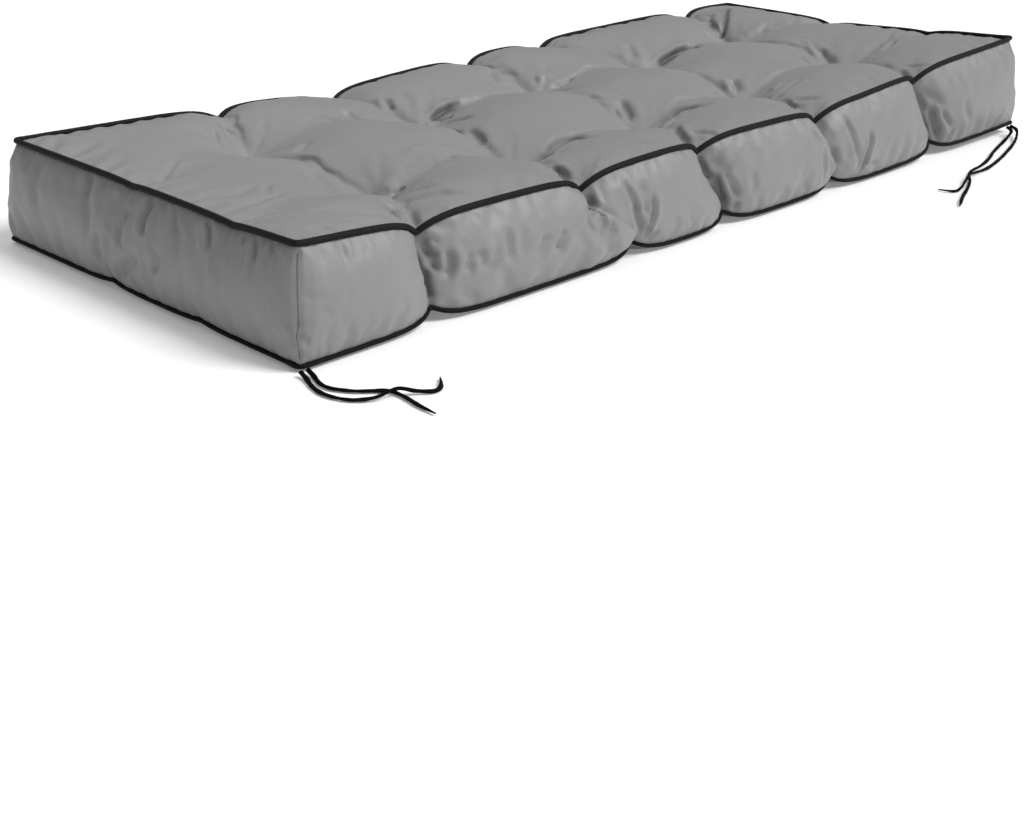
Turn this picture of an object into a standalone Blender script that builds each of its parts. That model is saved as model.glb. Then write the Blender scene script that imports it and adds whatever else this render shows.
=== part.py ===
"""Boxed pallet cushion: one filled, tufted body of 6 by 3 pillows, a piped seam round its top and
its bottom edge, and a pair of tie strands at each corner of the front. Metres, +Z up. It rests on
z = 0, X runs along its length, the front is at -Y, and the origin is under its middle."""

import math

import bmesh
import bpy
from mathutils import Vector

# Driving sizes
LENGTH = 1.194  # top seam along X, corner to corner: 1.2 m over the middle of its piping
DEPTH = 0.474  # top seam along Y
SEAM_HEIGHT = 0.110  # top seam above the floor at a corner
FOOT_OUT = 0.012  # how far the bottom seam stands outside the top one
FOOT_HEIGHT = 0.0060  # bottom seam above the floor
CORNER_LIFT = {"top": 0.016, "foot": 0.008}  # how far each seam curls up at the right front corner
CORNER_REACH = 1.6  # how many pillows away that curl is gone

# Stuffing
ROUNDNESS = 2.5  # a higher power gives a pillow a flatter middle and steeper sides
RIM_VALLEY = 0.012  # how far a valley rises between a tuft and a seam
FOOT_SADDLE = 0.016  # how far the cloth under the cushion sinks between two tufts
RIM_SADDLE = 0.55  # share of that between a tuft and a seam
FOOT_CROWN = 0.022  # pushes each pillow's underside flat on the floor
SEAM_EASE = 1.5  # more than 1 makes a crown rise more gently from a seam than from a valley
BULGE = 0.013  # how far the boxing swells at the middle of a pillow
BULGE_ROUNDNESS = 3.0
CORNER_SWELL = 0.005  # the same at a corner
AT_NOTCHES = {  # how far the boxing stands out at the notches of each side, below 0 where it sinks in
    "front": (-0.004, 0.012, -0.001, 0.012, -0.001),
    "back": (-0.001, -0.001, 0.001, 0.001, -0.001),
    "left": (0.012, 0.012),
    "right": (0.012, 0.012),
}
TUFT_FOOT = 0.036  # underside of a tuft above the floor
NOTCH_REACH = 0.017  # distance along a seam in which a notch fades
FOOT_NOTCH = 0.6  # how far the bottom seam rises at a notch, as a share of the top one's drop

# Piping and ties
PIPING_RADIUS = 0.00325
GAP = 0.0003
TIE_RADIUS = 0.0022
TIE_LIE = TIE_RADIUS + 0.0001  # height of a strand's middle where it lies on the floor
TIE_STEP = 0.0095  # spacing of a strand's points
OVER = 2 * TIE_RADIUS + 0.0005  # lift of the upper strand where the two cross
BESIDE = 0.25 * OVER  # its lift at the route's next point, on either side
CURVE_STEPS = 24  # points between two of a route's own, before they are spaced out evenly
TINY = 1e-6

# Mesh divisions
ALONG = 8  # for each pillow along X
ACROSS = 6  # for each pillow along Y
UP = 5  # up the boxing

# One row for each notch in the front and in the back seams, from left to right: its place along X
# at the top and at the bottom, the height of the seam beside it, and how far it goes down and in
FRONT_NOTCHES = (
    {"top_x": -0.455, "foot_x": -0.448, "beside": 0.102, "down": 0.018, "draw_in": 0.014},
    {"top_x": -0.238, "foot_x": -0.168, "beside": 0.100, "down": 0.020, "draw_in": 0.012},
    {"top_x": -0.050, "foot_x": -0.012, "beside": 0.104, "down": 0.019, "draw_in": 0.014},
    {"top_x": 0.165, "foot_x": 0.190, "beside": 0.101, "down": 0.021, "draw_in": 0.014},
    {"top_x": 0.378, "foot_x": 0.415, "beside": 0.109, "down": 0.019, "draw_in": 0.014},
)
BACK_NOTCHES = (
    {"top_x": -0.352, "foot_x": -0.385, "beside": 0.104, "down": 0.012, "draw_in": 0.012},
    {"top_x": -0.192, "foot_x": -0.200, "beside": 0.095, "down": 0.018, "draw_in": 0.013},
    {"top_x": 0.036, "foot_x": 0.020, "beside": 0.107, "down": 0.017, "draw_in": 0.013},
    {"top_x": 0.170, "foot_x": 0.190, "beside": 0.109, "down": 0.016, "draw_in": 0.012},
    {"top_x": 0.482, "foot_x": 0.440, "beside": 0.114, "down": 0.019, "draw_in": 0.013},
)
# The two shallow dips in each end's seams, from the front to the back
LEFT_DIPS = (
    {"top_y": -0.145, "foot_y": -0.100, "beside": 0.108, "down": 0.003, "draw_in": 0.002},
    {"top_y": 0.018, "foot_y": 0.050, "beside": 0.110, "down": 0.004, "draw_in": 0.003},
)
RIGHT_DIPS = (
    {"top_y": -0.115, "foot_y": -0.095, "beside": 0.112, "down": 0.004, "draw_in": 0.003},
    {"top_y": 0.045, "foot_y": 0.065, "beside": 0.110, "down": 0.007, "draw_in": 0.004},
)
# Tufts: place and the height of the cloth on top of each
FRONT_TUFTS = (
    {"x": -0.392, "y": -0.104, "top": 0.071},
    {"x": -0.206, "y": -0.100, "top": 0.069},
    {"x": 0.008, "y": -0.094, "top": 0.070},
    {"x": 0.204, "y": -0.090, "top": 0.072},
    {"x": 0.430, "y": -0.084, "top": 0.074},
)
REAR_TUFTS = (
    {"x": -0.388, "y": 0.122, "top": 0.076},
    {"x": -0.166, "y": 0.086, "top": 0.073},
    {"x": 0.040, "y": 0.102, "top": 0.075},
    {"x": 0.240, "y": 0.084, "top": 0.076},
    {"x": 0.455, "y": 0.116, "top": 0.078},
)
# How far each valley on top rises between two tufts, from left to right
VALLEYS_ALONG = {"front": (0.028, 0.020, 0.020, 0.022), "rear": (0.020, 0.012, 0.018, 0.018)}
VALLEYS_ACROSS = (0.010, 0.010, 0.018, 0.018, 0.018)
# Height of the middle of each pillow above the floor, from left to right
PILLOW_TOPS = {
    "front": (0.114, 0.108, 0.099, 0.104, 0.114, 0.121),
    "middle": (0.106, 0.110, 0.108, 0.107, 0.109, 0.116),
    "rear": (0.111, 0.110, 0.113, 0.115, 0.119, 0.120),
}
# How full each pillow is underneath, from left to right, as a share of FOOT_CROWN
FULLNESS = {
    "front": (0.60, 0.85, 0.90, 0.85, 0.90, 0.50),
    "middle": (0.50, 0.95, 1.05, 0.95, 1.00, 0.40),
    "rear": (0.80, 0.40, 0.40, 0.40, 0.40, 0.40),
}

# Each strand's route from the seam to its free end: x, y and how far it is lifted off its lying height
TIE_ROUTES = {
    "tie_left_over": (
        (-0.6146, -0.2566, 0.0024),
        (-0.6175, -0.2680, 0.0004),
        (-0.6235, -0.2830, 0.0),
        (-0.6265, -0.2980, 0.0),
        (-0.6245, -0.3140, 0.0),
        (-0.6170, -0.3290, 0.0),
        (-0.6020, -0.3400, BESIDE),
        (-0.5825, -0.3450, OVER),
        (-0.5690, -0.3530, BESIDE),
        (-0.5560, -0.3620, 0.0),
        (-0.5450, -0.3580, 0.0),
        (-0.5330, -0.3440, 0.0),
    ),
    "tie_left_under": (
        (-0.6070, -0.2566, 0.0024),
        (-0.6095, -0.2680, 0.0004),
        (-0.6150, -0.2830, 0.0),
        (-0.6150, -0.2960, 0.0),
        (-0.6100, -0.3070, 0.0),
        (-0.6030, -0.3170, 0.0),
        (-0.5930, -0.3260, 0.0),
        (-0.5835, -0.3350, 0.0),
        (-0.5815, -0.3450, 0.0),
        (-0.5825, -0.3590, 0.0),
        (-0.5850, -0.3760, 0.0),
        (-0.5860, -0.3960, 0.0),
    ),
    "tie_right_over": (
        (0.5925, -0.2567, 0.0098),
        (0.5890, -0.2680, 0.0070),
        (0.5700, -0.2790, 0.0030),
        (0.5420, -0.2900, 0.0),
        (0.5000, -0.3040, 0.0),
        (0.4560, -0.3170, 0.0),
        (0.4100, -0.3270, 0.0),
        (0.3760, -0.3290, BESIDE),
        (0.3530, -0.3350, OVER),
        (0.3300, -0.3420, BESIDE),
        (0.3080, -0.3500, 0.0),
        (0.2890, -0.3520, 0.0),
        (0.2810, -0.3350, 0.0),
    ),
    "tie_right_under": (
        (0.5840, -0.2567, 0.0096),
        (0.5790, -0.2660, 0.0066),
        (0.5600, -0.2715, 0.0028),
        (0.5300, -0.2790, 0.0),
        (0.4880, -0.2920, 0.0),
        (0.4500, -0.3060, 0.0),
        (0.4160, -0.3150, 0.0),
        (0.3820, -0.3200, 0.0),
        (0.3600, -0.3300, 0.0),
        (0.3420, -0.3420, 0.0),
        (0.3130, -0.3560, 0.0),
        (0.2760, -0.3710, 0.0),
        (0.2400, -0.3880, 0.0),
    ),
}

# Base Color, Roughness, Metallic
FINISHES = {
    "grey cloth": ((0.30, 0.30, 0.30, 1.0), 0.62, 0.0),
    "charcoal piping": ((0.030, 0.030, 0.032, 1.0), 0.70, 0.0),
    "black tie cloth": ((0.010, 0.010, 0.010, 1.0), 0.75, 0.0),
}

COLUMNS = len(FRONT_TUFTS) + 1
ROWS = len(FULLNESS)
CELLS_X = COLUMNS * ALONG
CELLS_Y = ROWS * ACROSS
OUT = {
    "front": Vector((0, -1, 0)),
    "back": Vector((0, 1, 0)),
    "left": Vector((-1, 0, 0)),
    "right": Vector((1, 0, 0)),
}
TOP_LOOK = math.radians(38)  # how far the top piping leans up from straight out
FOOT_LOOK = math.radians(-20)  # the same for the bottom one


def clear_scene():
    for thing in list(bpy.data.objects):
        bpy.data.objects.remove(thing, do_unlink=True)


def new_collection(name):
    made = bpy.data.collections.new(name)
    bpy.context.scene.collection.children.link(made)
    return made


def material(name):
    colour, roughness, metallic = FINISHES[name]
    made = bpy.data.materials.new(name)
    made.use_nodes = True
    shader = made.node_tree.nodes["Principled BSDF"]
    shader.inputs["Base Color"].default_value = colour
    shader.inputs["Roughness"].default_value = roughness
    shader.inputs["Metallic"].default_value = metallic
    made.diffuse_color = colour
    return made


def mix(a, b, t):
    return a + (b - a) * t


def swell(t, power=ROUNDNESS):
    """0 at both ends of a pillow's side and 1 in its middle."""
    return 1 - abs(2 * t - 1) ** power


def spaced(step, count):
    """Share of a pillow's side at a division, closer together near the tufts."""
    return (1 - math.cos(math.pi * step / count)) / 2


def column_at(i):
    """Which pillow a lattice line across the cushion lies in, and where in it."""
    column = min(i // ALONG, COLUMNS - 1)
    return column, spaced(i - column * ALONG, ALONG)


def row_at(j):
    """The same for a line along the cushion."""
    row = min(j // ACROSS, ROWS - 1)
    return row, spaced(j - row * ACROSS, ACROSS)


def corner_lift(level, i, j):
    """The curl of the right front corner at a lattice point."""
    along = max(0.0, 1 - (CELLS_X - i) / (CORNER_REACH * ALONG))
    across = max(0.0, 1 - j / (CORNER_REACH * ACROSS))
    return CORNER_LIFT[level] * along * across


def knots(level):
    """The net of corners, notches, dips and tufts, as rows from the front to the back."""
    top = level == "top"
    side_x = LENGTH / 2 + (0 if top else FOOT_OUT)
    side_y = DEPTH / 2 + (0 if top else FOOT_OUT)
    height = SEAM_HEIGHT if top else FOOT_HEIGHT
    x_name, y_name = ("top_x", "top_y") if top else ("foot_x", "foot_y")
    rows = []
    for notches, y in ((FRONT_NOTCHES, -side_y), (BACK_NOTCHES, side_y)):
        beside = [row["beside"] if top else height for row in notches]
        row = [Vector((-side_x, y, height))]
        row += [Vector((notch[x_name], y, z)) for notch, z in zip(notches, beside)]
        row.append(Vector((side_x, y, height)))
        rows.append(row)
    for number, tufts in enumerate((FRONT_TUFTS, REAR_TUFTS)):
        left, right = LEFT_DIPS[number], RIGHT_DIPS[number]
        row = [Vector((-side_x, left[y_name], left["beside"] if top else height))]
        row += [Vector((tuft["x"], tuft["y"], tuft["top"] if top else TUFT_FOOT)) for tuft in tufts]
        row.append(Vector((side_x, right[y_name], right["beside"] if top else height)))
        rows.insert(number + 1, row)
    return rows


def notch_pull(side, level, point):
    """How far the seam is drawn down and in beside a notch or a dip."""
    table = {"front": FRONT_NOTCHES, "back": BACK_NOTCHES, "left": LEFT_DIPS, "right": RIGHT_DIPS}[side]
    axis = 0 if side in ("front", "back") else 1
    name = ("top_" if level == "top" else "foot_") + "xy"[axis]
    pull = Vector((0, 0, 0))
    for row in table:
        share = math.exp(-abs(point[axis] - row[name]) / NOTCH_REACH)
        rise = -row["down"] if level == "top" else FOOT_NOTCH * row["down"]
        pull += share * (Vector((0, 0, rise)) - row["draw_in"] * OUT[side])
    return pull


def sides_of(i, j):
    """The sides that a lattice point on the rim belongs to, none inside it."""
    found = []
    if j == 0:
        found.append("front")
    if j == CELLS_Y:
        found.append("back")
    if i == 0:
        found.append("left")
    if i == CELLS_X:
        found.append("right")
    return found


def rim_point(net, level, i, j):
    """A point of the top or bottom seam."""
    column, a = column_at(i)
    row, b = row_at(j)
    sides = sides_of(i, j)
    if sides[0] in ("front", "back"):
        ends = net[0] if sides[0] == "front" else net[ROWS]
        point = mix(ends[column], ends[column + 1], a)
    else:
        ends = [line[0 if sides[0] == "left" else COLUMNS] for line in net]
        point = mix(ends[row], ends[row + 1], b)
    if len(sides) == 1:
        point = point + notch_pull(sides[0], level, point)
    return point + Vector((0, 0, corner_lift(level, i, j)))


def knot(net, level, column, row):
    """A knot of the net, where it stands after the notches."""
    i, j = column * ALONG, row * ACROSS
    return rim_point(net, level, i, j) if sides_of(i, j) else net[row][column]


def valley(net, level, start, end, t):
    """A point of the valley that runs between two knots of the net, given by column and row."""
    ends = [knot(net, level, *place) for place in (start, end)]
    column, row = start
    if any(sides_of(place[0] * ALONG, place[1] * ACROSS) for place in (start, end)):
        rise = RIM_VALLEY if level == "top" else -RIM_SADDLE * FOOT_SADDLE
    elif level == "foot":
        rise = -FOOT_SADDLE
    elif start[1] == end[1]:
        rise = VALLEYS_ALONG["front" if row == 1 else "rear"][column - 1]
    else:
        rise = VALLEYS_ACROSS[column - 1]
    return mix(ends[0], ends[1], t) + Vector((0, 0, rise * swell(t)))


def eased(t, pillow, pillows):
    """Place along a pillow's side, held back beside a seam so that the crown starts gently there."""
    if pillow == 0:
        return t**SEAM_EASE
    if pillow == pillows - 1:
        return 1 - (1 - t) ** SEAM_EASE
    return t


def stretched(net, level, i, j):
    """A point of a panel as a sheet would lie in the frame of its pillow's four edges."""
    column, a = column_at(i)
    row, b = row_at(j)

    def edge(start, end, t, seam):
        return rim_point(net, level, *seam) if seam else valley(net, level, start, end, t)

    front_seam = (i, 0) if row == 0 else None
    back_seam = (i, CELLS_Y) if row == ROWS - 1 else None
    left_seam = (0, j) if column == 0 else None
    right_seam = (CELLS_X, j) if column == COLUMNS - 1 else None
    low = edge((column, row), (column + 1, row), a, front_seam)
    high = edge((column, row + 1), (column + 1, row + 1), a, back_seam)
    left = edge((column, row), (column, row + 1), b, left_seam)
    right = edge((column + 1, row), (column + 1, row + 1), b, right_seam)
    corners = [[knot(net, level, column + c, row + r) for c in (0, 1)] for r in (0, 1)]
    flat = mix(mix(corners[0][0], corners[0][1], a), mix(corners[1][0], corners[1][1], a), b)
    return mix(low, high, b) + mix(left, right, a) - flat


def panel_point(net, level, i, j):
    """A point of the top or bottom panel: the stretched sheet, and what the stuffing adds."""
    if sides_of(i, j):
        return rim_point(net, level, i, j)
    column, a = column_at(i)
    row, b = row_at(j)
    name = ("front", "middle", "rear")[row]
    point = stretched(net, level, i, j)
    if level == "top":
        centre = stretched(net, level, column * ALONG + ALONG // 2, row * ACROSS + ACROSS // 2)
        lift = PILLOW_TOPS[name][column] - centre.z
        point.z += lift * swell(eased(a, column, COLUMNS)) * swell(eased(b, row, ROWS))
    else:
        point.z = max(0.0, point.z - FOOT_CROWN * FULLNESS[name][column] * swell(a) * swell(b))
    return point


def boxing_point(top_net, foot_net, i, j, share):
    """A point of the boxing between the two seams."""
    low = rim_point(foot_net, "foot", i, j)
    high = rim_point(top_net, "top", i, j)
    point = mix(low, high, share)
    sides = sides_of(i, j)
    if len(sides) == 1:
        axis = 0 if sides[0] in ("front", "back") else 1
        point[axis] = mix(low[axis], high[axis], share * share * (3 - 2 * share))
        pillow, t = column_at(i) if axis == 0 else row_at(j)
        last = COLUMNS - 1 if axis == 0 else ROWS - 1
        notch = pillow - 1 if t < 0.5 else pillow
        still = AT_NOTCHES[sides[0]][notch] if 0 <= notch < last else CORNER_SWELL
        bulge = mix(still, BULGE, swell(t, BULGE_ROUNDNESS))
    else:
        bulge = CORNER_SWELL
    for side in sides:
        point = point + OUT[side] * 4 * share * (1 - share) * bulge
    return point


def lattice_box():
    """A box of divided faces, each point's place counted in lattice lines from one corner."""
    mesh = bmesh.new()
    bmesh.ops.create_cube(mesh, size=1.0)
    bmesh.ops.translate(mesh, verts=mesh.verts, vec=(0.5, 0.5, 0.5))
    for axis, cells in enumerate((CELLS_X, CELLS_Y, UP)):
        others = [other for other in range(3) if other != axis]
        run = [
            edge
            for edge in mesh.edges
            if all(abs(edge.verts[0].co[other] - edge.verts[1].co[other]) < TINY for other in others)
        ]
        bmesh.ops.subdivide_edges(mesh, edges=run, cuts=cells - 1, use_grid_fill=True)
    return mesh


def cushion_body(collection):
    top_net, foot_net = knots("top"), knots("foot")
    mesh = lattice_box()
    for vert in mesh.verts:
        i, j = round(vert.co.x * CELLS_X), round(vert.co.y * CELLS_Y)
        share = vert.co.z
        if share > 1 - TINY:
            vert.co = panel_point(top_net, "top", i, j)
        elif share < TINY:
            vert.co = panel_point(foot_net, "foot", i, j)
        else:
            vert.co = boxing_point(top_net, foot_net, i, j, share)
    bmesh.ops.recalc_face_normals(mesh, faces=mesh.faces)
    data = bpy.data.meshes.new("cushion_body")
    mesh.to_mesh(data)
    mesh.free()
    body = bpy.data.objects.new("cushion_body", data)
    collection.objects.link(body)
    data.shade_smooth()
    data.materials.append(material("grey cloth"))
    return body


def rim_walk():
    """Lattice points once round the rim, each with the side that the next stretch runs along."""
    walk = [(i, 0, "front") for i in range(CELLS_X)]
    walk += [(CELLS_X, j, "right") for j in range(CELLS_Y)]
    walk += [(i, CELLS_Y, "back") for i in range(CELLS_X, 0, -1)]
    walk += [(0, j, "left") for j in range(CELLS_Y, 0, -1)]
    return walk


def piping(collection, name, level, look):
    """A tube that follows the seam a gap away from its edge, mitred at each bend."""
    net = knots(level)
    walk = rim_walk()
    seam = [rim_point(net, level, i, j) for i, j, _ in walk]
    away = []
    for number, (_, _, side) in enumerate(walk):
        run = (seam[(number + 1) % len(seam)] - seam[number]).normalized()
        wanted = OUT[side] * math.cos(look) + Vector((0, 0, math.sin(look)))
        away.append((wanted - run * wanted.dot(run)).normalized())
    reach = PIPING_RADIUS + 2 * GAP
    centre = []
    for number, point in enumerate(seam):
        before, after = away[number - 1], away[number]
        centre.append(point + reach * (before + after) / (1 + before.dot(after)))
    return tube(collection, name, centre, PIPING_RADIUS, "charcoal piping", closed=True)


def tube(collection, name, points, radius, finish, closed=False):
    curve = bpy.data.curves.new(name, "CURVE")
    curve.dimensions = "3D"
    curve.bevel_depth = radius
    curve.bevel_resolution = 2
    curve.use_fill_caps = not closed
    spline = curve.splines.new("POLY")
    spline.points.add(len(points) - 1)
    for slot, point in zip(spline.points, points):
        slot.co = (*point, 1.0)
    spline.use_cyclic_u = closed
    curve.materials.append(material(finish))
    made = bpy.data.objects.new(name, curve)
    collection.objects.link(made)
    return made


def smooth_route(route, step):
    """Evenly spaced points on a Catmull-Rom curve through the route's own points."""
    places = [Vector((x, y, TIE_LIE + lift)) for x, y, lift in route]
    padded = [2 * places[0] - places[1], *places, 2 * places[-1] - places[-2]]
    fine = []
    for p0, p1, p2, p3 in zip(padded, padded[1:], padded[2:], padded[3:]):
        square = 2 * p0 - 5 * p1 + 4 * p2 - p3
        cube = 3 * p1 - p0 - 3 * p2 + p3
        for number in range(CURVE_STEPS):
            t = number / CURVE_STEPS
            fine.append((2 * p1 + (p2 - p0) * t + square * t**2 + cube * t**3) / 2)
    fine.append(places[-1])
    lengths = [0.0]
    for a, b in zip(fine, fine[1:]):
        lengths.append(lengths[-1] + (b - a).length)
    count = round(lengths[-1] / step)
    points = []
    place = 0
    for number in range(count + 1):
        wanted = lengths[-1] * number / count
        while place < len(fine) - 2 and lengths[place + 1] < wanted:
            place += 1
        share = (wanted - lengths[place]) / (lengths[place + 1] - lengths[place])
        point = mix(fine[place], fine[place + 1], share)
        point.z = max(point.z, TIE_LIE)
        points.append(point)
    return points


def main():
    clear_scene()
    collection = new_collection("Pallet cushion")
    cushion_body(collection)
    piping(collection, "piping_top", "top", TOP_LOOK)
    piping(collection, "piping_bottom", "foot", FOOT_LOOK)
    for name, route in TIE_ROUTES.items():
        tube(collection, name, smooth_route(route, TIE_STEP), TIE_RADIUS, "black tie cloth")


main()
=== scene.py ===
# %% [markdown]
# # A tufted pallet cushion
# The cushion is a long box of grey cloth, stuffed firmly and drawn together by two rows of tufts.
# A charcoal piping covers the seam round its top and round its bottom, and a pair of black ties
# hangs from each corner of its front. This lesson dresses a plain solid of it in real cloth.
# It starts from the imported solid, because every new piece has to lie where that one lies.

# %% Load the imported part
import math

import bmesh
import bpy
import numpy as np
from mathutils import Euler, Matrix, Vector


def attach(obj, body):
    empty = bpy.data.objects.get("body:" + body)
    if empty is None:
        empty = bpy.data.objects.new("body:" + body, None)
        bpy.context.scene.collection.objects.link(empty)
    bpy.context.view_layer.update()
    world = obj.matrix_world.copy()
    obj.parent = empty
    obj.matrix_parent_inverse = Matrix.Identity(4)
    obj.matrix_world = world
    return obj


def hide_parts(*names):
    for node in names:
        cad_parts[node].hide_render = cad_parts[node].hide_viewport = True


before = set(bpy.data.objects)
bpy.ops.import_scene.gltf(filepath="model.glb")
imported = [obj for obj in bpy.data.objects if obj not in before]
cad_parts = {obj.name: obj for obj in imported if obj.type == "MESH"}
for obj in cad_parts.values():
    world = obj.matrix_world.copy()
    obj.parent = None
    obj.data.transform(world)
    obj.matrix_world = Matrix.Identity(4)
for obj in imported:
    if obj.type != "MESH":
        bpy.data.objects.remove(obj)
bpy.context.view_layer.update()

print("nodes:", ", ".join(sorted(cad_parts)))

# %% [markdown]
# ## Camera
# The camera stands low over the left front corner and looks along the cushion's diagonal, so both
# the end and the long front show. Three turns place it: round the vertical, down, and a slight roll.

# %% Camera
LENS = 54.48
AROUND, DOWN, ROLL = -0.785231, 0.425426, 0.006345
lens = bpy.data.cameras.new("camera")
lens.lens = LENS
lens.sensor_width = 36
lens.sensor_fit = "HORIZONTAL"
camera = bpy.data.objects.new("camera", lens)
bpy.context.scene.collection.objects.link(camera)
turn = Euler((math.pi / 2 - DOWN, 0, AROUND)).to_matrix() @ Euler((0, 0, ROLL)).to_matrix()
camera.matrix_world = turn.to_4x4()
camera.location = (-1.350025, -1.248146, 0.521717)
bpy.context.scene.camera = camera
print("camera", round(camera.location.length, 2), "m from the cushion's middle")

# %% [markdown]
# ## Tubes
# A tie and a piping are both a tube along a line. Blender can give a curve a round bevel, but
# a mesh also takes a UV map, which the cloth's threads need so that they run along the tube.
# A flat grid with UVs is made by one operator, and each of its points is then wrapped round the
# line: one direction of the grid runs along it, the other round it.


# %% Wrap a grid round a line
SECTION_ROUND = 0.014  # how much of the thread pattern goes round a tube, in metres


def made_piece(name, mesh):
    """Puts a finished mesh into the scene as an object of its own."""
    data = bpy.data.meshes.new(name)
    mesh.to_mesh(data)
    mesh.free()
    data.shade_smooth()
    made = bpy.data.objects.new(name, data)
    bpy.context.scene.collection.objects.link(made)
    return made


def spread_out(points, step, closed=False):
    """Evenly spaced points along a line, and the distance along it to each of them."""
    line = np.array(points, float)
    if closed:
        line = np.vstack([line, line[:1]])
    lengths = np.concatenate([[0], np.cumsum(np.linalg.norm(np.diff(line, axis=0), axis=1))])
    count = round(lengths[-1] / step)
    along = np.linspace(0, lengths[-1], count + 1)
    even = np.stack([np.interp(along, lengths, line[:, axis]) for axis in range(3)], axis=1)
    return even, along


def frames_of(line, up, closed=False):
    """At each point of a line, two directions square to it: the first leans towards up."""
    if closed:
        run = np.roll(line, -1, axis=0) - np.roll(line, 1, axis=0)
    else:
        run = np.gradient(line, axis=0)
    run /= np.linalg.norm(run, axis=1)[:, None]
    first = up - run * (up * run).sum(1)[:, None]
    first /= np.linalg.norm(first, axis=1)[:, None]
    return first, np.cross(run, first)


def wrapped_tube(name, line, along, up, section, sides, closed=False):
    """A tube whose section(angle, place) gives its two half widths at a place along the line."""
    rings = len(line) - 1 if closed else len(line)
    first, second = frames_of(line[:rings], up[:rings], closed)
    mesh = bmesh.new()
    uv = mesh.loops.layers.uv.new("threads")
    bmesh.ops.create_grid(mesh, x_segments=len(line) - 1, y_segments=sides, size=0.5, calc_uvs=True)
    for face in mesh.faces:
        for loop in face.loops:
            share = loop.vert.co + Vector((0.5, 0.5, 0))
            loop[uv].uv = (share.x * along[-1], share.y * SECTION_ROUND)
    for vert in mesh.verts:
        ring = round((vert.co.x + 0.5) * (len(line) - 1))
        angle = 2 * math.pi * (vert.co.y + 0.5)
        wide, high = section(angle, along[ring])
        slot = ring % rings
        vert.co = (
            line[ring] + first[slot] * high * math.cos(angle) + second[slot] * wide * math.sin(angle)
        )
    bmesh.ops.remove_doubles(mesh, verts=mesh.verts, dist=1e-6)
    if not closed:
        bmesh.ops.holes_fill(mesh, edges=[edge for edge in mesh.edges if edge.is_boundary])
    bmesh.ops.recalc_face_normals(mesh, faces=mesh.faces)
    made = made_piece(name, mesh)
    print(f"{name}: {1000 * along[-1]:.0f} mm long, {len(made.data.polygons)} faces")
    return made


# %% [markdown]
# ## Ties
# Each tie is a narrow strip of cloth, folded and sewn, so it is flatter than a cord and turns over
# slowly along its way. Two hang from each front corner, lie on the floor and cross once. They come
# early in the lesson, because the solids already fix their routes: the lines below repeat them.

# %% Tie routes
TIE_RADIUS = 0.0022
TIE_LIE = TIE_RADIUS + 0.0001
OVER = 2 * TIE_RADIUS + 0.0005  # lift of the upper strand where the two cross
BESIDE = 0.25 * OVER  # its lift at the route's next point, on either side
TIE_ROUTES = {
    "tie_left_over": (
        (-0.6146, -0.2566, 0.0024), (-0.6175, -0.2680, 0.0004), (-0.6235, -0.2830, 0.0),
        (-0.6265, -0.2980, 0.0), (-0.6245, -0.3140, 0.0), (-0.6170, -0.3290, 0.0),
        (-0.6020, -0.3400, BESIDE), (-0.5825, -0.3450, OVER), (-0.5690, -0.3530, BESIDE),
        (-0.5560, -0.3620, 0.0), (-0.5450, -0.3580, 0.0), (-0.5330, -0.3440, 0.0),
    ),
    "tie_left_under": (
        (-0.6070, -0.2566, 0.0024), (-0.6095, -0.2680, 0.0004), (-0.6150, -0.2830, 0.0),
        (-0.6150, -0.2960, 0.0), (-0.6100, -0.3070, 0.0), (-0.6030, -0.3170, 0.0),
        (-0.5930, -0.3260, 0.0), (-0.5835, -0.3350, 0.0), (-0.5815, -0.3450, 0.0),
        (-0.5825, -0.3590, 0.0), (-0.5850, -0.3760, 0.0), (-0.5860, -0.3960, 0.0),
    ),
    "tie_right_over": (
        (0.5925, -0.2567, 0.0098), (0.5890, -0.2680, 0.0070), (0.5700, -0.2790, 0.0030),
        (0.5420, -0.2900, 0.0), (0.5000, -0.3040, 0.0), (0.4560, -0.3170, 0.0),
        (0.4100, -0.3270, 0.0), (0.3760, -0.3290, BESIDE), (0.3530, -0.3350, OVER),
        (0.3300, -0.3420, BESIDE), (0.3080, -0.3500, 0.0), (0.2890, -0.3520, 0.0),
        (0.2810, -0.3350, 0.0),
    ),
    "tie_right_under": (
        (0.5840, -0.2567, 0.0096), (0.5790, -0.2660, 0.0066), (0.5600, -0.2715, 0.0028),
        (0.5300, -0.2790, 0.0), (0.4880, -0.2920, 0.0), (0.4500, -0.3060, 0.0),
        (0.4160, -0.3150, 0.0), (0.3820, -0.3200, 0.0), (0.3600, -0.3300, 0.0),
        (0.3420, -0.3420, 0.0), (0.3130, -0.3560, 0.0), (0.2760, -0.3710, 0.0),
        (0.2400, -0.3880, 0.0),
    ),
}
print("ties:", ", ".join(TIE_ROUTES))


# %% Tie strands
TIE_STEP = 0.0015
FLATNESS = 0.72  # a strand's thickness as a share of its width
TURN, TURN_LENGTH = 1.2, 0.045  # how far the strip turns over, in radians, and along how much of it
TIP, TIP_LENGTH = 0.45, 0.030  # its width at the tip as a share, and how far the tip tapers


def smooth_line(points):
    """A Catmull-Rom curve through the points."""
    p = np.array(points, float)
    padded = np.vstack([2 * p[0] - p[1], p, 2 * p[-1] - p[-2]])
    t = np.linspace(0, 1, 24, endpoint=False)[:, None]
    pieces = []
    for a, b, c, d in zip(padded, padded[1:], padded[2:], padded[3:]):
        square, cube = 2 * a - 5 * b + 4 * c - d, 3 * b - a - 3 * c + d
        pieces.append((2 * b + (c - a) * t + square * t**2 + cube * t**3) / 2)
    return np.vstack([*pieces, p[-1:]])


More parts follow.
